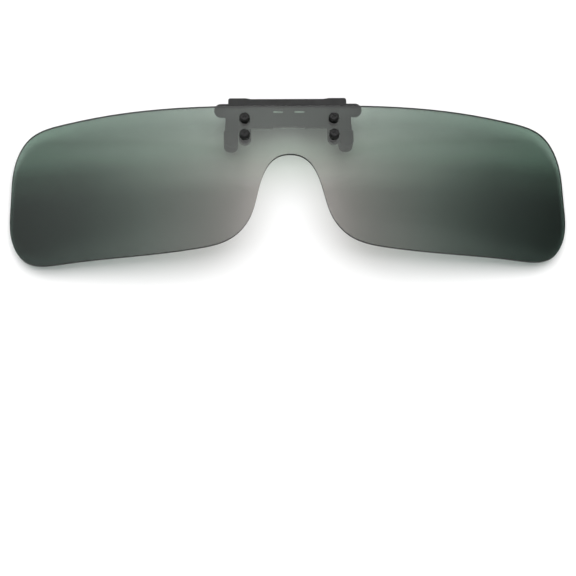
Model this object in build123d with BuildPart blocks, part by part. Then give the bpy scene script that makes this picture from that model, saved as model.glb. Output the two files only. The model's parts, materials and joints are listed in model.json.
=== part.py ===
"""Clip-on sunglasses with a flip-up one-piece lens and a spring clip, in millimetres.

As worn: +Z up, +X across the face, the lens front looks along -Y. The origin is the grip,
midway between the front and rear pads of the clip. Everything is symmetric about X = 0.
"""

import os

from build123d import *

os.makedirs("parts", exist_ok=True)

# ---- driving dimensions ----
LENS_RADIUS = 240.0  # front face, a cylinder about a vertical axis
LENS_T = 1.0
LENS_TOP = 7.2  # height of the lens's top edge above the grip
SHEET = 0.8  # jaw sheet
PLATE_T = 0.7  # hinge plate sheet
LEAF_T = 0.2  # detent spring strip
PAD_GAP = 0.3  # between closed pads
PAD_WALL = 0.7  # rubber in front of and behind a leg
JOGGLE = 0.9  # the rear jaw's upper half stands this much further back
CAM_STANDOFF = 1.3  # flip axis to front jaw, and to the detent spring
LENS_GAP = 0.9  # lens back to hinge plate at the middle
PIN_R = 0.6
RUNNING = 0.05  # radial clearance of a turning fit
DEEP = 30.0  # a cut or block this deep passes right through

# ---- depths, front to back ----
FRONT_JAW_BACK = -PAD_GAP / 2 - PAD_WALL
FRONT_JAW_Y = FRONT_JAW_BACK - SHEET
FLIP_Y = FRONT_JAW_Y - CAM_STANDOFF
LEAF_Y = FLIP_Y - CAM_STANDOFF - LEAF_T
PLATE_Y = LEAF_Y - PLATE_T
LENS_Y = PLATE_Y - LENS_GAP - LENS_T
REAR_LEG_Y = PAD_GAP / 2 + PAD_WALL
REAR_JAW_Y = REAR_LEG_Y + JOGGLE
JAW_PIN_Y = (FRONT_JAW_BACK + REAR_JAW_Y) / 2

# ---- heights ----
FLIP_Z = LENS_TOP + 0.3
JAW_PIN_Z = LENS_TOP + 0.3
LEG_TIP = LENS_TOP - 8.7
PAD_TOP = LENS_TOP - 4.9
PAD_TIP = LENS_TOP - 9.3

# ---- legs and pads ----
LEG_IN, LEG_OUT = 13.4, 16.4
LEG_END_R = 1.2
PAD_SIDE = 0.35
PAD_END_R = 1.6
PAD_ROUND = 0.3

# ---- lens screws ----
SCREW_X = 11.45
SCREW_Z = {"upper": LENS_TOP - 3.35, "lower": LENS_TOP - 7.85}
SCREW_R = 0.7
SCREW_PROUD = 0.2  # the screw's end stands out of its nut
HEAD_R, HEAD_H = 1.35, 0.72
HEAD_ROUND = 0.62
RECESS_LONG, RECESS_WIDE, RECESS_DEEP = 1.2, 0.3, 0.35
HOLE_R = 0.75
WASHER_R, SPACER_R = 1.25, 1.4
CURVE_CUT = 5.0  # depth of the block that shapes a washer to the lens
NUT_FLATS, NUT_T = 2.5, 1.0
SIDES = {"left": -1, "right": 1}


def front_plane(y):
    """Sketch plane at depth y, local x = X and local y = Z, its normal towards the front."""
    return Plane.XZ.offset(-y)


def save(part, name):
    part.label = name
    export_step(part, f"parts/{name}.step")


def lens_band(front_r, back_r):
    """Section between two arcs about the lens's axis, wide enough for the whole lens."""
    centre = (0, LENS_Y + LENS_RADIUS)
    with BuildSketch(Plane.XY, mode=Mode.PRIVATE) as band:
        with Locations(centre):
            Circle(front_r)
            Circle(back_r, mode=Mode.SUBTRACT)
        with Locations((0, LENS_Y)):
            Rectangle(6 * DEEP, 2 * DEEP, mode=Mode.INTERSECT)
    return band.sketch


# ---- lens: a one-piece shield with a nose arch ----
MID = LENS_TOP - 21.65  # height of the widest line
LENS_OUTLINE = [
    (0, 21.65),
    (26, 21.85),
    (46, 21.0),
    (58, 19.6),
    (66.8, 16.75),
    (70.75, 9.8),
    (71.6, -1),
    (71.0, -11),
    (67.2, -16.8),
    (57, -18.05),
    (38, -17.25),
    (24, -16.1),
    (15.0, -13.5),
    (10.5, -8.5),
    (8.4, -2),
    (6.2, 4.5),
    (0, 8.42),
]

with BuildPart() as lens:
    with BuildSketch(Plane.XZ):
        with BuildLine():
            right = Spline(
                [(x, MID + z) for x, z in LENS_OUTLINE], tangents=[(1, 0), (-1, 0)]
            )
            mirror(right, about=Plane.YZ)
        make_face()
    extrude(amount=DEEP, both=True)
    with BuildSketch(Plane.XY.offset(LENS_TOP - 2 * DEEP)):
        add(lens_band(LENS_RADIUS, LENS_RADIUS - LENS_T))
    extrude(amount=3 * DEEP, mode=Mode.INTERSECT)
    with Locations(
        *[front_plane(0) * Pos(side * SCREW_X, z) for side in SIDES.values() for z in SCREW_Z.values()]
    ):
        Cylinder(HOLE_R + RUNNING, DEEP, mode=Mode.SUBTRACT)
save(lens.part, "lens")

# ---- screws, washers, spacers and nuts ----
NUT_Y = PLATE_Y + PLATE_T
SCREW_END = NUT_Y + NUT_T + SCREW_PROUD
RECESS_TURN = {"upper_left": 12, "lower_left": 47, "upper_right": 28, "lower_right": 68}

for side, sign in SIDES.items():
    for level, z in SCREW_Z.items():
        spot = (sign * SCREW_X, z)
        turn = RECESS_TURN[f"{level}_{side}"]

        with BuildPart() as screw:
            with BuildSketch(front_plane(LENS_Y)):
                with Locations(spot):
                    Circle(HEAD_R)
            extrude(amount=HEAD_H)
            fillet(screw.faces().sort_by(Axis.Y)[0].edges(), HEAD_ROUND)
            with BuildSketch(front_plane(SCREW_END)):
                with Locations(spot):
                    Circle(SCREW_R)
            extrude(until=Until.NEXT)
            with BuildSketch(front_plane(LENS_Y - HEAD_H)):
                with Locations(Pos(*spot) * Rot(0, 0, turn)):
                    Rectangle(RECESS_LONG, RECESS_WIDE)
                    Rectangle(RECESS_WIDE, RECESS_LONG)
            extrude(amount=-RECESS_DEEP, mode=Mode.SUBTRACT)
        save(screw.part, f"screw_{level}_{side}")

        # The lens is curved, so each washer's lens side is cut to the lens's own radius.
        with BuildPart() as washer:
            with BuildSketch(front_plane(LENS_Y)):
                with Locations(spot):
                    Circle(WASHER_R)
                    Circle(HOLE_R, mode=Mode.SUBTRACT)
            extrude(amount=-LENS_T)
            with BuildSketch(Plane.XY.offset(z - CURVE_CUT)):
                add(lens_band(LENS_RADIUS, LENS_RADIUS - CURVE_CUT))
            extrude(amount=2 * CURVE_CUT, mode=Mode.SUBTRACT)
        save(washer.part, f"washer_{level}_{side}")

        with BuildPart() as spacer:
            with BuildSketch(front_plane(PLATE_Y)):
                with Locations(spot):
                    Circle(SPACER_R)
                    Circle(HOLE_R, mode=Mode.SUBTRACT)
            extrude(amount=LENS_GAP + LENS_T / 2)
            with BuildSketch(Plane.XY.offset(z - CURVE_CUT)):
                add(lens_band(LENS_RADIUS + CURVE_CUT, LENS_RADIUS - LENS_T))
            extrude(amount=2 * CURVE_CUT, mode=Mode.SUBTRACT)
        save(spacer.part, f"spacer_{level}_{side}")

        with BuildPart() as nut:
            with BuildSketch(front_plane(NUT_Y)):
                with Locations(spot):
                    RegularPolygon(NUT_FLATS / 2, 6, major_radius=False)
                    Circle(SCREW_R, mode=Mode.SUBTRACT)
            extrude(amount=-NUT_T)
        save(nut.part, f"nut_{level}_{side}")

# ---- hinge plate: a stamped bridge with two lobes and two bent-back ears ----
PLATE_HALF = 13.0
COLUMN_IN = 9.75
PLATE_TOP = LENS_TOP + 1.2
BRIDGE_LOW = LENS_TOP - 5.4
RECESS_LOW = BRIDGE_LOW + 0.3
NOTCH_LOW = RECESS_LOW + LEAF_T
RECESS_HALF = 4.05
LOBE_Z = LENS_TOP - 8.35
LOBE_R = (PLATE_HALF - COLUMN_IN) / 2
SLOT_X, SLOT_W = 2.75, 2.6
SLOT_LOW, SLOT_HIGH = LENS_TOP - 1.25, LENS_TOP - 0.6
EAR_IN, EAR_T = 6.5, 0.7
EAR_R = 1.15
EAR_NECK = 1.05

with BuildPart() as hinge_plate:
    with BuildSketch(front_plane(PLATE_Y)):
        with Locations((0, (PLATE_TOP + BRIDGE_LOW) / 2)):
            Rectangle(2 * PLATE_HALF, PLATE_TOP - BRIDGE_LOW)
        for sign in SIDES.values():
            x = sign * (PLATE_HALF + COLUMN_IN) / 2
            with Locations((x, (BRIDGE_LOW + LOBE_Z) / 2)):
                Rectangle(2 * LOBE_R, BRIDGE_LOW - LOBE_Z)
            with Locations((x, LOBE_Z)):
                Circle(LOBE_R)
            with Locations((sign * SLOT_X, (SLOT_LOW + SLOT_HIGH) / 2)):
                Rectangle(SLOT_W, SLOT_HIGH - SLOT_LOW, mode=Mode.SUBTRACT)
            with Locations(*[(sign * SCREW_X, z) for z in SCREW_Z.values()]):
                Circle(HOLE_R, mode=Mode.SUBTRACT)
        with Locations((0, BRIDGE_LOW)):
            Rectangle(2 * RECESS_HALF, 2 * (RECESS_LOW - BRIDGE_LOW), mode=Mode.SUBTRACT)
        with Locations((SLOT_X, BRIDGE_LOW), (-SLOT_X, BRIDGE_LOW)):
            Rectangle(SLOT_W, 2 * (NOTCH_LOW - BRIDGE_LOW), mode=Mode.SUBTRACT)
    extrude(amount=-PLATE_T)
    for start in (EAR_IN, -EAR_IN - EAR_T):
        with BuildSketch(Plane.YZ.offset(start)):
            with Locations((FLIP_Y, FLIP_Z)):
                Circle(EAR_R)
            with Locations(((NUT_Y + FLIP_Y) / 2, FLIP_Z)):
                Rectangle(FLIP_Y - NUT_Y, 2 * EAR_NECK)
            with Locations((FLIP_Y, FLIP_Z)):
                Circle(PIN_R, mode=Mode.SUBTRACT)
        extrude(amount=EAR_T)
save(hinge_plate.part, "hinge_plate")

# ---- detent spring: a leaf behind the plate, with tongues in its slots and hooks in its notches ----
TONGUE_PLAY = 0.1
TONGUE_W = SLOT_W - TONGUE_PLAY
TONGUE_H = SLOT_HIGH - SLOT_LOW - TONGUE_PLAY
HOOK_W = SLOT_W - 0.6
REACH = PLATE_T - 0.05  # the tongues end just inside the plate's face
LEAF_HALF = 4.4

with BuildPart() as detent_spring:
    with BuildSketch(front_plane(LEAF_Y)):
        with Locations((0, (PLATE_TOP + NOTCH_LOW) / 2)):
            Rectangle(2 * LEAF_HALF, PLATE_TOP - NOTCH_LOW)
    extrude(amount=-LEAF_T)
    with BuildSketch(front_plane(LEAF_Y + LEAF_T)):
        with Locations((SLOT_X, NOTCH_LOW - LEAF_T / 2), (-SLOT_X, NOTCH_LOW - LEAF_T / 2)):
            Rectangle(HOOK_W, LEAF_T)
    extrude(amount=LEAF_T + REACH)
    with BuildSketch(front_plane(LEAF_Y)):
        slot_z = (SLOT_LOW + SLOT_HIGH) / 2
        with Locations((SLOT_X, slot_z), (-SLOT_X, slot_z)):
            Rectangle(TONGUE_W, TONGUE_H)
    extrude(amount=REACH)
save(detent_spring.part, "detent_spring")

# ---- cam block on the front jaw: its two flats hold the lens down or up ----
CAM_HALF = EAR_IN - 0.1
CAM_R, CAM_FLAT = 1.25, 1.2
CAM_FOOT = 2.0
RIVET_X, RIVET_R = 4.6, 0.5
RIVET_DEPTH = 0.5
RIVET_HEAD_R, RIVET_HEAD_H = 0.8, 0.3
RIVET_ROUND = 0.2

with BuildPart() as cam_block:
    with BuildSketch(Plane.YZ.offset(-CAM_HALF)):
        with Locations((FLIP_Y, FLIP_Z)):
            Circle(CAM_R)
            with Locations((CAM_R - CAM_FLAT, CAM_FLAT - CAM_R)):
                Rectangle(2 * CAM_R, 2 * CAM_R, mode=Mode.INTERSECT)
        with Locations((FLIP_Y + CAM_STANDOFF / 2, FLIP_Z)):
            Rectangle(CAM_STANDOFF, CAM_FOOT)
        with Locations((FLIP_Y, FLIP_Z)):
            Circle(PIN_R + RUNNING, mode=Mode.SUBTRACT)
    extrude(amount=2 * CAM_HALF)
    with BuildSketch(front_plane(FRONT_JAW_Y)):
        with Locations((RIVET_X, FLIP_Z), (-RIVET_X, FLIP_Z)):
            Circle(RIVET_R)
    extrude(amount=RIVET_DEPTH, mode=Mode.SUBTRACT)
save(cam_block.part, "cam_block")

for side, sign in SIDES.items():
    with BuildPart() as rivet:
        with BuildSketch(front_plane(FRONT_JAW_Y - RIVET_DEPTH)):
            with Locations((sign * RIVET_X, FLIP_Z)):
                Circle(RIVET_R)
        extrude(amount=-RIVET_DEPTH - SHEET)
        with BuildSketch(front_plane(FRONT_JAW_BACK)):
            with Locations((sign * RIVET_X, FLIP_Z)):
                Circle(RIVET_HEAD_R)
        extrude(amount=-RIVET_HEAD_H)
        fillet(rivet.faces().sort_by(Axis.Y)[-1].edges(), RIVET_ROUND)
    save(rivet.part, f"cam_rivet_{side}")


# ---- pins with peened ends ----
PEEN_R, PEEN_T = 0.95, 0.4
PEEN_ROUND = 0.24


def peened_pin(y, z, half):
    """Pin along X through (y, z), its heads outside +half and -half."""
    with BuildPart() as pin:
        with BuildSketch(Plane.YZ.offset(-half)):
            with Locations((y, z)):
                Circle(PIN_R)
        extrude(amount=2 * half)
        for start in (half, -half - PEEN_T):
            with BuildSketch(Plane.YZ.offset(start)):
                with Locations((y, z)):
                    Circle(PEEN_R)
            extrude(amount=PEEN_T)
        fillet(pin.faces().sort_by(Axis.X)[0].edges(), PEEN_ROUND)
        fillet(pin.faces().sort_by(Axis.X)[-1].edges(), PEEN_ROUND)
    return pin.part


JAW_EAR_IN = 7.5
JAW_EAR_R = 1.1
save(peened_pin(FLIP_Y, FLIP_Z, EAR_IN + EAR_T), "hinge_pin")
save(peened_pin(JAW_PIN_Y, JAW_PIN_Z, JAW_EAR_IN + SHEET), "jaw_pin")


# ---- jaws ----
def jaw_ear(start, y_from, y_to, bore):
    """Ear of a jaw in the plane X = start, from its sheet at y_from to y_to at the jaw pin."""
    with BuildSketch(Plane.YZ.offset(start)) as ear:
        with Locations((JAW_PIN_Y, JAW_PIN_Z)):
            Circle(JAW_EAR_R)
        with Locations(((y_from + y_to) / 2, JAW_PIN_Z)):
            Rectangle(abs(y_to - y_from), 2 * JAW_EAR_R)
        with Locations((JAW_PIN_Y, JAW_PIN_Z)):
            Circle(bore, mode=Mode.SUBTRACT)
    return ear.sketch


def leg_face(sign, top):
    """Front outline of one leg, down to its rounded tip."""
    with BuildSketch(mode=Mode.PRIVATE) as leg:
        with Locations((sign * (LEG_IN + LEG_OUT) / 2, (top + LEG_TIP) / 2)):
            Rectangle(LEG_OUT - LEG_IN, top - LEG_TIP)
        fillet(leg.vertices().group_by(Axis.Y)[0], LEG_END_R)
    return leg.sketch


BAR_HALF, BAR_LOW, BAR_HIGH = 19.15, LENS_TOP - 0.8, LENS_TOP + 2.75
BODY_HALF, BODY_LOW = 16.3, LENS_TOP - 3.2
SHOULDER_IN = 12.5

with BuildPart() as front_jaw:
    with BuildSketch(front_plane(FRONT_JAW_Y)):
        with Locations((0, (BAR_LOW + BAR_HIGH) / 2)):
            SlotOverall(2 * BAR_HALF, BAR_HIGH - BAR_LOW)
        with Locations((0, (BAR_HIGH + BODY_LOW) / 2)):
            Rectangle(2 * BODY_HALF, BAR_HIGH - BODY_LOW)
        for sign in SIDES.values():
            with Locations((sign * (BODY_HALF + SHOULDER_IN) / 2, (BODY_LOW + PAD_TOP) / 2)):
                Rectangle(BODY_HALF - SHOULDER_IN, BODY_LOW - PAD_TOP)
            add(leg_face(sign, BODY_LOW))
        with Locations((RIVET_X, FLIP_Z), (-RIVET_X, FLIP_Z)):
            Circle(RIVET_R, mode=Mode.SUBTRACT)
    extrude(amount=-SHEET)
    for start in (JAW_EAR_IN, -JAW_EAR_IN - SHEET):
        add(extrude(jaw_ear(start, FRONT_JAW_BACK, JAW_PIN_Y, PIN_R), amount=SHEET))
save(front_jaw.part, "front_jaw")

LEVER_HALF, LEVER_TOP = 15.5, LENS_TOP + 5.8
LEVER_ROUND = 0.6
LEVER_DIP = 0.25  # the lever's middle is this much lower than its ends
DIP_IN, DIP_OUT = 9.6, 11.0
BEAD_R = 0.8
REAR_LOW = LENS_TOP - 2.2
LEG_LAP = 1.5  # a leg runs this far up into the jaw
BEND_TOP, BEND_LOW = LENS_TOP - 1.2, LENS_TOP - 3.4
EAR_SIDE_GAP = 0.3
REAR_EAR_IN = JAW_EAR_IN - SHEET - EAR_SIDE_GAP
WINDOW_HALF = 3.2

with BuildPart() as rear_jaw:
    with BuildSketch(Plane.YZ):
        with BuildLine():
            Polyline(
                (REAR_JAW_Y, LEVER_TOP),
                (REAR_JAW_Y, BEND_TOP),
                (REAR_LEG_Y, BEND_LOW),
                (REAR_LEG_Y, LEG_TIP),
                (REAR_LEG_Y + SHEET, LEG_TIP),
                (REAR_LEG_Y + SHEET, BEND_LOW),
                (REAR_JAW_Y + SHEET, BEND_TOP),
                (REAR_JAW_Y + SHEET, LEVER_TOP - BEAD_R),
                (REAR_JAW_Y + BEAD_R, LEVER_TOP),
                close=True,
            )
        make_face()
        with Locations((REAR_JAW_Y + BEAD_R, LEVER_TOP - BEAD_R)):
            Circle(BEAD_R)
    extrude(amount=BODY_HALF, both=True)
    with BuildSketch(Plane.XZ) as face:
        with BuildLine():
            half = Polyline(
                (0, LEVER_TOP - LEVER_DIP),
                (DIP_IN, LEVER_TOP - LEVER_DIP),
                (DIP_OUT, LEVER_TOP),
                (LEVER_HALF, LEVER_TOP),
                (LEVER_HALF, REAR_LOW),
                (0, REAR_LOW),
            )
            mirror(half, about=Plane.YZ)
        make_face()
        fillet(face.vertices().group_by(Axis.Y)[-1], LEVER_ROUND)
        for sign in SIDES.values():
            add(leg_face(sign, REAR_LOW + LEG_LAP))
        with Locations((0, JAW_PIN_Z)):
            Rectangle(2 * WINDOW_HALF, WINDOW_HALF, mode=Mode.SUBTRACT)
    extrude(amount=DEEP, both=True, mode=Mode.INTERSECT)
    for start in (REAR_EAR_IN, -REAR_EAR_IN - SHEET):
        add(extrude(jaw_ear(start, JAW_PIN_Y, REAR_JAW_Y, PIN_R + RUNNING), amount=SHEET))
save(rear_jaw.part, "rear_jaw")

# ---- rubber sleeves on the legs ----
PAD_X = (LEG_IN + LEG_OUT) / 2
PAD_W = LEG_OUT - LEG_IN + 2 * PAD_SIDE
for jaw, leg_y in {"front": FRONT_JAW_Y, "rear": REAR_LEG_Y}.items():
    for side, sign in SIDES.items():
        with BuildPart() as pad:
            with BuildSketch(front_plane(leg_y - PAD_WALL)) as outline:
                with Locations((sign * PAD_X, (PAD_TOP + PAD_TIP) / 2)):
                    Rectangle(PAD_W, PAD_TOP - PAD_TIP)
                fillet(outline.vertices().group_by(Axis.Y)[0], PAD_END_R)
            extrude(amount=-SHEET - 2 * PAD_WALL)
            rims = pad.faces().sort_by(Axis.Y)
            fillet(rims[0].edges() + rims[-1].edges(), PAD_ROUND)
            with BuildSketch(front_plane(leg_y)):
                add(leg_face(sign, PAD_TOP))
            extrude(amount=-SHEET, mode=Mode.SUBTRACT)
        save(pad.part, f"{jaw}_sleeve_{side}")

# ---- torsion spring around the jaw pin, one arm on each jaw ----
WIRE_R = 0.175
COIL_R = 1.05
COIL_TURNS = 7.5
COIL_PITCH = 0.4
ARM = 2.4

# Made standing on the origin, then laid along the pin with its first arm at the front jaw.
coil_seat = Plane(
    origin=(-COIL_TURNS * COIL_PITCH / 2, JAW_PIN_Y, JAW_PIN_Z), x_dir=(0, -1, 0), z_dir=(1, 0, 0)
)
with BuildPart() as torsion_spring:
    with BuildLine() as wire:
        coil = Helix(COIL_PITCH, COIL_TURNS * COIL_PITCH, COIL_R)
        first = Line(coil @ 0 - (coil % 0) * ARM, coil @ 0)
        Line(coil @ 1, coil @ 1 + (coil % 1) * ARM)
    with BuildSketch(Plane(origin=first @ 0, z_dir=first % 0)):
        Circle(WIRE_R)
    sweep(path=wire.line, is_frenet=True)
save(coil_seat.location * torsion_spring.part, "torsion_spring")
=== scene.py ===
"""Clip-on sunglasses lying face up on white paper, seen from a little below the lens's axis."""

import json
from math import cos, pi, radians, sin

import bmesh
import bpy
from mathutils import Matrix, Vector


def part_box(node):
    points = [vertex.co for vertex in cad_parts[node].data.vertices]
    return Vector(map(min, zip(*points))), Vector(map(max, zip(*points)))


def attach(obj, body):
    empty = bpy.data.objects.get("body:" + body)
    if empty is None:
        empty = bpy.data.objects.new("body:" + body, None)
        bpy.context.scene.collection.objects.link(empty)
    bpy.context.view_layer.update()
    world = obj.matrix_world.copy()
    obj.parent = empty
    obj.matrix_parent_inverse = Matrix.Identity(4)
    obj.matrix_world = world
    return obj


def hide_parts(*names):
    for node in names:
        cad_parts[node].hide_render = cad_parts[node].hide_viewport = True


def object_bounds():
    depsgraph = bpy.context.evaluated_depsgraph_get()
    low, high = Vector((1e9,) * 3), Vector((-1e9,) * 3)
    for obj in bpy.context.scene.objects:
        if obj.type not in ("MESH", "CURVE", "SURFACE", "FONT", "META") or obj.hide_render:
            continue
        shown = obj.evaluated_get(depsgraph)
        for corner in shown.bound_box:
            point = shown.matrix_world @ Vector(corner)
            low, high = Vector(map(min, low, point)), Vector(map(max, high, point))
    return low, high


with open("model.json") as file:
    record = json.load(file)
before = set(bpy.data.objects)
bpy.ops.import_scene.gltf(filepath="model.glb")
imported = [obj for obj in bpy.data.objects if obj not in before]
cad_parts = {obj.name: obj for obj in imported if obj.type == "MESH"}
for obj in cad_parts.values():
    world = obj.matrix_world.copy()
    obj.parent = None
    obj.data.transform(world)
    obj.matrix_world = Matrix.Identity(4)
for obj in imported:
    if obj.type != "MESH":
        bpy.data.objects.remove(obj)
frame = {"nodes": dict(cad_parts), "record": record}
cad_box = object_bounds()
nodes = frame["nodes"]
behaviour = frame["record"]["behaviour"]
body_of = {n: b for b, members in behaviour["bodies"].items() for n in members}
slot_of = {s["node"]: s["material_slot"] for s in frame["record"]["subparts"]}

MM = 0.001
LENS_LOW, LENS_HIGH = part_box("lens")
LENS_RADIUS = 240 * MM
LENS_AXIS_Y = LENS_LOW[1] + LENS_RADIUS  # the upright axis that the lens curves round


# ---- materials ----
MOTTLE, GLOSS_PATCHES, DRAWN_MARKS = 420, 900, 2500  # noise scales, in features per metre

# The lens's tint from the top down: height, how much green light one surface lets through from
# the middle to the ends, then the hue in the middle and at the ends as shares of that green.
# The table is partly the lens's own graded tint and partly painted shade: its top row is darker
# than the clear lens, and its bands follow the light and shadow on the paper under the lens.
# A ray crosses four surfaces on its way to the paper and back.
TINT_SIDES = (0.13, 0.3, 0.5, 0.75, 1)  # share of the way from the middle to the ends
TINT_AND_SHADE = [
    (4 * MM, (0.7, 0.51, 0.47, 0.45, 0.505), (0.92, 1, 0.94), (0.78, 1, 0.875)),
    (-3 * MM, (0.81, 0.665, 0.635, 0.565, 0.525), (0.95, 1, 0.95), (0.84, 1, 0.915)),
    (-10 * MM, (0.695, 0.61, 0.54, 0.405, 0.38), (1.01, 1, 0.975), (0.81, 1, 0.905)),
    (-17 * MM, (0.6, 0.535, 0.48, 0.365, 0.29), (1.03, 1, 0.98), (0.79, 1, 0.91)),
]
LENS_ROUGH = 0.035
HEAD_ON = 0.047  # share of light that a face of the lens mirrors straight on
SLANT_POWER = 5.0  # how late that share rises as the view slants


def new_material(name):
    """Material with its Principled shader and its node tree."""
    mat = bpy.data.materials.new(name)
    mat.use_nodes = True
    shader = mat.node_tree.nodes["Principled BSDF"]
    return mat, shader, mat.node_tree


def object_noise(tree, scale, detail=4.0, stretch=(1, 1, 1)):
    """Noise over the object's own coordinates, in metres."""
    coord = tree.nodes.new("ShaderNodeTexCoord")
    mapping = tree.nodes.new("ShaderNodeMapping")
    mapping.inputs["Scale"].default_value = stretch
    noise = tree.nodes.new("ShaderNodeTexNoise")
    noise.inputs["Scale"].default_value = scale
    noise.inputs["Detail"].default_value = detail
    tree.links.new(coord.outputs["Object"], mapping.inputs["Vector"])
    tree.links.new(mapping.outputs["Vector"], noise.inputs["Vector"])
    return noise.outputs["Fac"]


def ramp(tree, value, stops):
    """Colour ramp over value, stops as (position, colour or grey)."""
    node = tree.nodes.new("ShaderNodeValToRGB")
    elements = node.color_ramp.elements
    while len(elements) < len(stops):
        elements.new(0.5)
    for element, (position, colour) in zip(elements, stops):
        element.position = position
        grey = isinstance(colour, (int, float))
        element.color = (colour, colour, colour, 1) if grey else (*colour, 1)
    tree.links.new(value, node.inputs["Fac"])
    return node.outputs["Color"]


def graded(tree, across, height, rows):
    """Colour table of rows (height, stops across), highest first, each fading into the next."""
    colour = ramp(tree, across, rows[0][1])
    for (above, _), (below, stops) in zip(rows, rows[1:]):
        fade = tree.nodes.new("ShaderNodeMapRange")
        fade.interpolation_type = "SMOOTHSTEP"
        fade.inputs["From Min"].default_value = above
        fade.inputs["From Max"].default_value = below
        tree.links.new(height, fade.inputs["Value"])
        both = tree.nodes.new("ShaderNodeMix")
        both.data_type = "RGBA"
        tree.links.new(fade.outputs["Result"], both.inputs["Factor"])
        tree.links.new(colour, both.inputs["A"])
        tree.links.new(ramp(tree, across, stops), both.inputs["B"])
        colour = both.outputs["Result"]
    return colour


def bump(tree, shader, value, strength, distance):
    """Relief of value on the shader, distance metres high."""
    node = tree.nodes.new("ShaderNodeBump")
    node.inputs["Strength"].default_value = strength
    node.inputs["Distance"].default_value = distance
    tree.links.new(value, node.inputs["Height"])
    tree.links.new(node.outputs["Normal"], shader.inputs["Normal"])


def painted(name, dark, light, rough, specular=0.5, orange_peel=2200, depth=6e-6):
    """Black finish: mottled a little in colour and gloss, with a fine skin texture."""
    mat, shader, tree = new_material(name)
    mottle = ramp(tree, object_noise(tree, MOTTLE), [(0.35, dark), (0.7, light)])
    tree.links.new(mottle, shader.inputs["Base Color"])
    patches = object_noise(tree, GLOSS_PATCHES, 3.0)
    gloss = ramp(tree, patches, [(0.3, rough[0]), (0.75, rough[1])])
    tree.links.new(gloss, shader.inputs["Roughness"])
    shader.inputs["Specular IOR Level"].default_value = specular
    bump(tree, shader, object_noise(tree, orange_peel, 2.0), 0.5, depth)
    return mat


def brushed(name, dark, light, rough, stretch):
    """Bare steel with drawn marks along one axis."""
    mat, shader, tree = new_material(name)
    marks = object_noise(tree, DRAWN_MARKS, 5.0, stretch)
    tree.links.new(ramp(tree, marks, [(0.3, dark), (0.7, light)]), shader.inputs["Base Color"])
    gloss = ramp(tree, marks, [(0.3, rough[0]), (0.7, rough[1])])
    tree.links.new(gloss, shader.inputs["Roughness"])
    shader.inputs["Metallic"].default_value = 1.0
    bump(tree, shader, marks, 0.3, 3e-6)
    return mat


def tint_and_shade_rows():
    """The lens's tint with its painted shade as rows of colour stops, each hue sliding from the
    middle to the ends.
    """
    rows = []
    for height, clearness, middle_hue, end_hue in TINT_AND_SHADE:
        stops = []
        for side, green in zip(TINT_SIDES, clearness):
            share = (side - TINT_SIDES[0]) / (TINT_SIDES[-1] - TINT_SIDES[0])
            hue = Vector(middle_hue).lerp(Vector(end_hue), share)
            stops.append((side, tuple(green * hue)))
        rows.append((height, stops))
    return rows


def lens_tint(tree):
    """Tint of the lens, partly painted shade, by height and by the way out from its middle, the
    same on both sides.
    """
    coord = tree.nodes.new("ShaderNodeTexCoord")
    split = tree.nodes.new("ShaderNodeSeparateXYZ")
    tree.links.new(coord.outputs["Object"], split.inputs["Vector"])
    out_x = tree.nodes.new("ShaderNodeMath")
    out_x.operation = "ABSOLUTE"
    tree.links.new(split.outputs["X"], out_x.inputs[0])
    side = tree.nodes.new("ShaderNodeMapRange")
    side.inputs["From Min"].default_value = 0.0
    side.inputs["From Max"].default_value = LENS_HIGH[0]
    tree.links.new(out_x.outputs["Value"], side.inputs["Value"])
    return graded(tree, side.outputs["Result"], split.outputs["Z"], tint_and_shade_rows())


def mirrored_share(tree):
    """Share of light that a face mirrors: both faces alike, more at a slant, never all at once."""
    slant = tree.nodes.new("ShaderNodeLayerWeight")
    slant.inputs["Blend"].default_value = 0.5
    steep = tree.nodes.new("ShaderNodeMath")
    steep.operation = "POWER"
    steep.inputs[1].default_value = SLANT_POWER
    tree.links.new(slant.outputs["Facing"], steep.inputs[0])
    mirrored = tree.nodes.new("ShaderNodeMath")
    mirrored.operation = "MULTIPLY_ADD"
    mirrored.inputs[1].default_value = 1 - HEAD_ON
    mirrored.inputs[2].default_value = HEAD_ON
    tree.links.new(steep.outputs["Value"], mirrored.inputs[0])
    return mirrored.outputs["Value"]


def lens_material(name):
    """Graded grey-green tint, partly painted shade, that lets light through unbent, with a clear
    hard gloss over it.
    """
    mat = bpy.data.materials.new(name)
    mat.use_nodes = True
    tree = mat.node_tree
    tree.nodes.clear()
    out = tree.nodes.new("ShaderNodeOutputMaterial")
    clear = tree.nodes.new("ShaderNodeBsdfTransparent")
    tree.links.new(lens_tint(tree), clear.inputs["Color"])
    gloss = tree.nodes.new("ShaderNodeBsdfAnisotropic")
    gloss.inputs["Color"].default_value = (1, 1, 1, 1)
    gloss.inputs["Roughness"].default_value = LENS_ROUGH
    mix = tree.nodes.new("ShaderNodeMixShader")
    tree.links.new(mirrored_share(tree), mix.inputs["Fac"])
    tree.links.new(clear.outputs["BSDF"], mix.inputs[1])
    tree.links.new(gloss.outputs["BSDF"], mix.inputs[2])
    tree.links.new(mix.outputs["Shader"], out.inputs["Surface"])
    return mat


SPRING_STEEL = brushed("spring_steel", 0.82, 0.92, (0.1, 0.18), (0.1, 1, 1))
BLACK_METAL = painted("black_metal", 0.014, 0.021, (0.38, 0.52))
BY_SLOT = {
    "black_metal": BLACK_METAL,
    "black_fastener": painted(
        "black_fastener", 0.004, 0.008, (0.2, 0.3), orange_peel=3000, depth=3e-6
    ),
    "sleeve_rubber": painted(
        "sleeve_rubber", 0.010, 0.018, (0.6, 0.75), orange_peel=3800, depth=1.2e-5
    ),
    "nylon": painted("nylon", 0.02, 0.03, (0.45, 0.6), orange_peel=2800),
    "spring_steel": SPRING_STEEL,
    "pin_steel": brushed("pin_steel", 0.16, 0.26, (0.25, 0.4), (0.05, 1, 1)),
}
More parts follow.
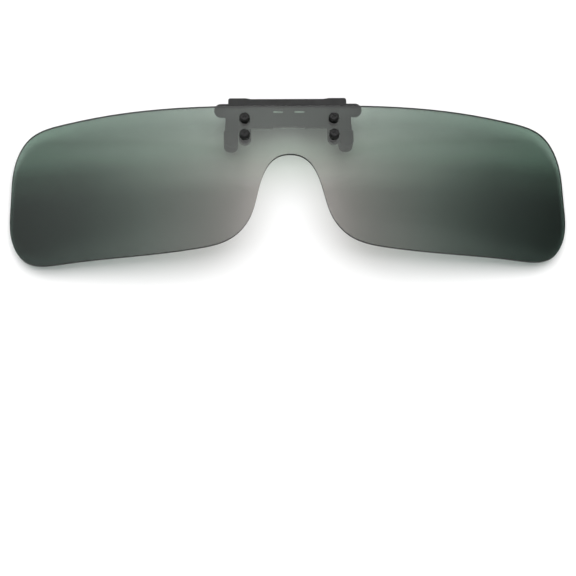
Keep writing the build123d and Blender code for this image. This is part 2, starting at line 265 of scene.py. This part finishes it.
# The lens's see-through colour holds painted shade as well as its own graded tint.
LENS_TINT_AND_SHADE = lens_material("lens_tint")
LENS_EDGE = painted(
    "lens_edge", 0.003, 0.006, (0.4, 0.5), specular=0.08, orange_peel=1500, depth=2e-6
)


# ---- pieces ----
WELD = 0.002 * MM
FLAT = radians(0.6)  # faces that turn less than this are one flat face
CORNER = radians(30)  # edges sharper than this are rounded
CREASE = radians(32)  # edges sharper than this after rounding are shaded sharp
BEVEL_SEGMENTS = 3
EDGE_PROFILE = 0.6
EDGE_ROUND = {"black_metal": 0.1, "black_fastener": 0.06, "nylon": 0.04, "spring_steel": 0.03}
MODELLED_APART = ("lens", "torsion_spring")


def welded_copy(node):
    """Fresh bmesh of a CAD node, its seams closed and its flat faces made whole."""
    bm = bmesh.new()
    bm.from_mesh(nodes[node].data)
    bmesh.ops.remove_doubles(bm, verts=bm.verts, dist=WELD)
    bmesh.ops.dissolve_limit(
        bm, angle_limit=FLAT, verts=bm.verts, edges=bm.edges, delimit={"NORMAL"}
    )
    return bm


def sharp_edges(bm, angle):
    return [e for e in bm.edges if len(e.link_faces) == 2 and e.calc_face_angle(0) > angle]


def round_off(bm, edges, width, profile, loop_slide):
    """Rounds edges, then cuts up faces of more than four corners."""
    if edges:
        bmesh.ops.bevel(
            bm,
            geom=edges,
            offset=width,
            segments=BEVEL_SEGMENTS,
            profile=profile,
            affect="EDGES",
            clamp_overlap=True,
            loop_slide=loop_slide,
        )
    bmesh.ops.triangulate(bm, faces=[f for f in bm.faces if len(f.verts) > 4])


def add_piece(name, bm, materials, node):
    """Puts bm in the scene in place of node, riding on its body."""
    mesh = bpy.data.meshes.new(name)
    bm.to_mesh(mesh)
    bm.free()
    for mat in materials:
        mesh.materials.append(mat)
    piece = bpy.data.objects.new(name, mesh)
    bpy.context.scene.collection.objects.link(piece)
    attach(piece, body_of[node])
    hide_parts(node)
    return piece


def rounded(node, width):
    """A sheet-metal, turned or moulded piece with its real rounded edges."""
    bm = welded_copy(node)
    round_off(bm, sharp_edges(bm, CORNER), width, EDGE_PROFILE, loop_slide=True)
    for face in bm.faces:
        face.smooth = True
    for edge in sharp_edges(bm, CREASE):
        edge.smooth = False
    return add_piece(f"{node}_finish", bm, [BY_SLOT[slot_of[node]]], node)


for node in sorted(nodes):
    slot = slot_of[node]
    if node in MODELLED_APART:
        continue
    if slot in EDGE_ROUND:
        rounded(node, EDGE_ROUND[slot] * MM)
    else:
        mesh = nodes[node].data
        mesh.materials.clear()
        mesh.materials.append(BY_SLOT[slot])


# ---- detent spring ----
TONGUE_LOW = 5.8 * MM
LEAF_FRONT = -4.5 * MM


def blacken_leaf(piece):
    """The leaf and its hooks are blackened, and only the tongues in the slots are rubbed bright."""
    mesh = piece.data
    mesh.materials.append(BLACK_METAL)
    for polygon in mesh.polygons:
        tongue = polygon.center.z > TONGUE_LOW and polygon.center.y < LEAF_FRONT
        polygon.material_index = 0 if tongue else 1


blacken_leaf(bpy.data.objects["detent_spring_finish"])


# ---- torsion spring: its coil and front arm stay with the clip, its rear arm goes with the lever
JAW_AXIS = Vector(next(j for j in behaviour["joints"] if j["name"] == "jaw_open")["pos_m"])
WIRE_R, COIL_R = 0.175 * MM, 1.05 * MM
COIL_TURNS, COIL_PITCH = 7.5, 0.4 * MM
ARM = 2.4 * MM
STEPS = 48  # points in one turn
ARM_ROOT = STEPS // 6  # points of the arm's root that lie inside the coil's last wire
ROOT_SLIM = 0.98  # the arm's wire against the coil's, so that its root stays inside


def coil_point(step):
    turn = 2 * pi * step / STEPS
    along = (step / STEPS - COIL_TURNS / 2) * COIL_PITCH
    return JAW_AXIS + Vector((along, -COIL_R * cos(turn), -COIL_R * sin(turn)))


def wire(points, radius, sides=12):
    """Round wire through points, closed at both ends."""
    bm = bmesh.new()
    rings = []
    side = Vector((1, 0, 0))
    for i, point in enumerate(points):
        ahead = (points[min(i + 1, len(points) - 1)] - points[max(i - 1, 0)]).normalized()
        side = (side - ahead * side.dot(ahead)).normalized()
        up = ahead.cross(side)
        rings.append([])
        for k in range(sides):
            turn = 2 * pi * k / sides
            rings[-1].append(bm.verts.new(point + radius * (side * cos(turn) + up * sin(turn))))
    for one, two in zip(rings, rings[1:]):
        for k in range(sides):
            bm.faces.new((one[k], one[(k + 1) % sides], two[(k + 1) % sides], two[k]))
    bm.faces.new(rings[0][::-1])
    bm.faces.new(rings[-1])
    for face in bm.faces:
        face.smooth = len(face.verts) == 4
    return bm


def torsion_spring():
    """Coil with its front arm, and the rear arm, which stays joined as the jaw opens."""
    coil = [coil_point(step) for step in range(int(COIL_TURNS * STEPS) + 1)]
    front_tip = coil[0] + (coil[0] - coil[1]).normalized() * ARM
    rear_tip = coil[-1] + (coil[-1] - coil[-2]).normalized() * ARM
    still = wire([front_tip] + coil, WIRE_R)
    add_piece("torsion_spring_coil", still, [SPRING_STEEL], "torsion_spring")
    moving = wire(coil[-ARM_ROOT:] + [rear_tip], ROOT_SLIM * WIRE_R)
    rear_arm = add_piece("torsion_spring_arm", moving, [SPRING_STEEL], "torsion_spring")
    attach(rear_arm, "rear_jaw_unit")


torsion_spring()


# ---- lens ----
RIM_CORNER = radians(45)
RIM_ROUND = 0.28 * MM
RIM_PROFILE = 0.55
ON_THE_CURVE = 0.995  # cosine to the curve's normal above which a face is one of the large ones


def from_axis(place):
    """Direction level with place, from the lens's axis outwards."""
    return Vector((place.x, place.y - LENS_AXIS_Y, 0)).normalized()


def lens_piece():
    """The lens with rounded rims, exact curved faces and a dark polished edge."""
    bm = welded_copy("lens")
    round_off(bm, sharp_edges(bm, RIM_CORNER), RIM_ROUND, RIM_PROFILE, loop_slide=False)
    bm.normal_update()
    for face in bm.faces:
        face.smooth = True
        out = from_axis(face.calc_center_median())
        face.material_index = 0 if abs(face.normal.dot(out)) > ON_THE_CURVE else 1
    return add_piece("lens_finish", bm, [LENS_TINT_AND_SHADE, LENS_EDGE], "lens")


def curved_normals(piece):
    """Gives the lens's two large faces the exact normals of their cylinders."""
    mesh = piece.data
    normals = [None] * len(mesh.loops)
    for polygon in mesh.polygons:
        for loop in polygon.loop_indices:
            if polygon.material_index == 0:
                out = from_axis(mesh.vertices[mesh.loops[loop].vertex_index].co)
                normals[loop] = out if polygon.normal.dot(out) > 0 else -out
            else:
                normals[loop] = mesh.corner_normals[loop].vector.copy()
    mesh.normals_split_custom_set([tuple(n) for n in normals])


curved_normals(lens_piece())


# ---- stage: the paper that the object lies on, with its back to the sheet ----
PAPER_Y = cad_box[1][1] + 1.2 * MM
PAPER_HALF = 0.9


def paper():
    """White sheet, drawn only on the side that the object lies on, so that its back shows too."""
    mesh = bpy.data.meshes.new("paper")
    corners = [(-PAPER_HALF, PAPER_Y, -PAPER_HALF), (PAPER_HALF, PAPER_Y, -PAPER_HALF)]
    corners += [(PAPER_HALF, PAPER_Y, PAPER_HALF), (-PAPER_HALF, PAPER_Y, PAPER_HALF)]
    mesh.from_pydata(corners, [], [(0, 1, 2, 3)])
    sheet = bpy.data.objects.new("paper", mesh)
    bpy.context.scene.collection.objects.link(sheet)
    mat, shader, tree = new_material("paper")
    shader.inputs["Base Color"].default_value = (0.9, 0.9, 0.9, 1)
    shader.inputs["Roughness"].default_value = 0.9
    shader.inputs["Specular IOR Level"].default_value = 0.0
    facing = tree.nodes.new("ShaderNodeNewGeometry")
    through = tree.nodes.new("ShaderNodeBsdfTransparent")
    mix = tree.nodes.new("ShaderNodeMixShader")
    tree.links.new(facing.outputs["Backfacing"], mix.inputs["Fac"])
    tree.links.new(shader.outputs["BSDF"], mix.inputs[1])
    tree.links.new(through.outputs["BSDF"], mix.inputs[2])
    tree.links.new(mix.outputs["Shader"], tree.nodes["Material Output"].inputs["Surface"])
    mesh.materials.append(mat)


paper()


# ---- light ----
FAR = 0.9
LAMP_AIM = Vector((0, 0, -10 * MM))
LIGHTS = {  # name: degrees above the lens's axis, size, power
    "front": (8, (1.3, 0.73), 10.6),
    "top": (50, (0.8, 0.35), 1.6),
    "low": (-52, (0.5, 0.3), 1.9),
}
FILL = 0.18
GLOW = 2.0
GLOW_SIDE = 0.7  # sine of the angle to each side at which the glow's rows end
# Brightness of what is mirrored, by the sine of its height, and from the left to the right.
GLOW_ROWS = [
    (0.62, [(0.0, 0.1), (0.5, 0.12), (1.0, 0.1)]),
    (0.4, [(0.0, 0.56), (0.5, 1.0), (1.0, 0.34)]),
    (0.3, [(0.0, 0.32), (0.5, 0.52), (1.0, 0.1)]),
    (0.0, [(0.0, 0.1), (0.5, 0.1), (1.0, 0.05)]),
]


def area_light(name, height, size, power):
    """Soft lamp in front of the object, lighting it without being mirrored in it."""
    data = bpy.data.lights.new(name, "AREA")
    data.shape = "RECTANGLE"
    data.size, data.size_y = size
    data.energy = power
    light = bpy.data.objects.new(name, data)
    place = Vector((0, -FAR * cos(radians(height)), FAR * sin(radians(height))))
    light.location = place
    light.rotation_euler = (LAMP_AIM - place).to_track_quat("-Z", "Y").to_euler()
    light.visible_camera = False
    light.visible_glossy = False
    bpy.context.scene.collection.objects.link(light)


for name, (height, size, power) in LIGHTS.items():
    area_light(name, height, size, power)


def studio_world():
    """White backdrop, an even fill, and for reflections a soft glow above the lens's axis."""
    world = bpy.data.worlds.new("studio")
    world.use_nodes = True
    bpy.context.scene.world = world
    tree = world.node_tree
    backdrop = tree.nodes["Background"]
    backdrop.inputs["Color"].default_value = (1, 1, 1, 1)
    backdrop.inputs["Strength"].default_value = 1.0
    fill = tree.nodes.new("ShaderNodeBackground")
    fill.inputs["Color"].default_value = (1, 1, 1, 1)
    fill.inputs["Strength"].default_value = FILL
    coord = tree.nodes.new("ShaderNodeTexCoord")
    split = tree.nodes.new("ShaderNodeSeparateXYZ")
    tree.links.new(coord.outputs["Generated"], split.inputs["Vector"])
    across = tree.nodes.new("ShaderNodeMapRange")
    across.inputs["From Min"].default_value = -GLOW_SIDE
    across.inputs["From Max"].default_value = GLOW_SIDE
    tree.links.new(split.outputs["X"], across.inputs["Value"])
    glow = tree.nodes.new("ShaderNodeBackground")
    glow.inputs["Strength"].default_value = GLOW
    shade = graded(tree, across.outputs["Result"], split.outputs["Z"], GLOW_ROWS)
    tree.links.new(shade, glow.inputs["Color"])
    path = tree.nodes.new("ShaderNodeLightPath")
    reflected = tree.nodes.new("ShaderNodeMixShader")
    tree.links.new(path.outputs["Is Glossy Ray"], reflected.inputs["Fac"])
    tree.links.new(fill.outputs["Background"], reflected.inputs[1])
    tree.links.new(glow.outputs["Background"], reflected.inputs[2])
    choose = tree.nodes.new("ShaderNodeMixShader")
    tree.links.new(path.outputs["Is Camera Ray"], choose.inputs["Fac"])
    tree.links.new(reflected.outputs["Shader"], choose.inputs[1])
    tree.links.new(backdrop.outputs["Background"], choose.inputs[2])
    tree.links.new(choose.outputs["Shader"], tree.nodes["World Output"].inputs["Surface"])


studio_world()


# ---- camera ----
AZIMUTH, ELEVATION, ROLL = radians(-2.8), radians(-20.0), radians(-1.3)
DISTANCE = 0.4
VIEW_WIDTH = 145.67 * MM  # what the view takes in at the target
SENSOR_MM = 36
TARGET = Vector((0, LENS_LOW[1], LENS_HIGH[2] - 21.85 * MM))
TARGET_RIGHT, TARGET_UP = 0.71 * MM, 26.02 * MM  # where it stands from the middle of the view
CLIP_NEAR, CLIP_FAR = 0.01, 10


def add_camera():
    """Camera at DISTANCE from the target, turned so that the target stands off the middle."""
    data = bpy.data.cameras.new("camera")
    data.sensor_width = SENSOR_MM
    data.lens = SENSOR_MM * DISTANCE / VIEW_WIDTH
    data.clip_start, data.clip_end = CLIP_NEAR, CLIP_FAR
    camera = bpy.data.objects.new("camera", data)
    bpy.context.scene.collection.objects.link(camera)
    level = cos(ELEVATION)
    back = Vector((sin(AZIMUTH) * level, -cos(AZIMUTH) * level, sin(ELEVATION)))
    right = Vector((cos(AZIMUTH), sin(AZIMUTH), 0))
    facing = Matrix((right, back.cross(right), back)).transposed()
    roll = Matrix.Rotation(ROLL, 3, "Z")
    swing = Matrix.Rotation(TARGET_RIGHT / DISTANCE, 3, "Y")
    drop = Matrix.Rotation(-TARGET_UP / DISTANCE, 3, "X")
    turned = (facing @ roll @ swing @ drop).to_4x4()
    camera.matrix_world = Matrix.Translation(TARGET + DISTANCE * back) @ turned
    bpy.context.scene.camera = camera


add_camera()
bpy.context.scene.view_settings.view_transform = "Standard"
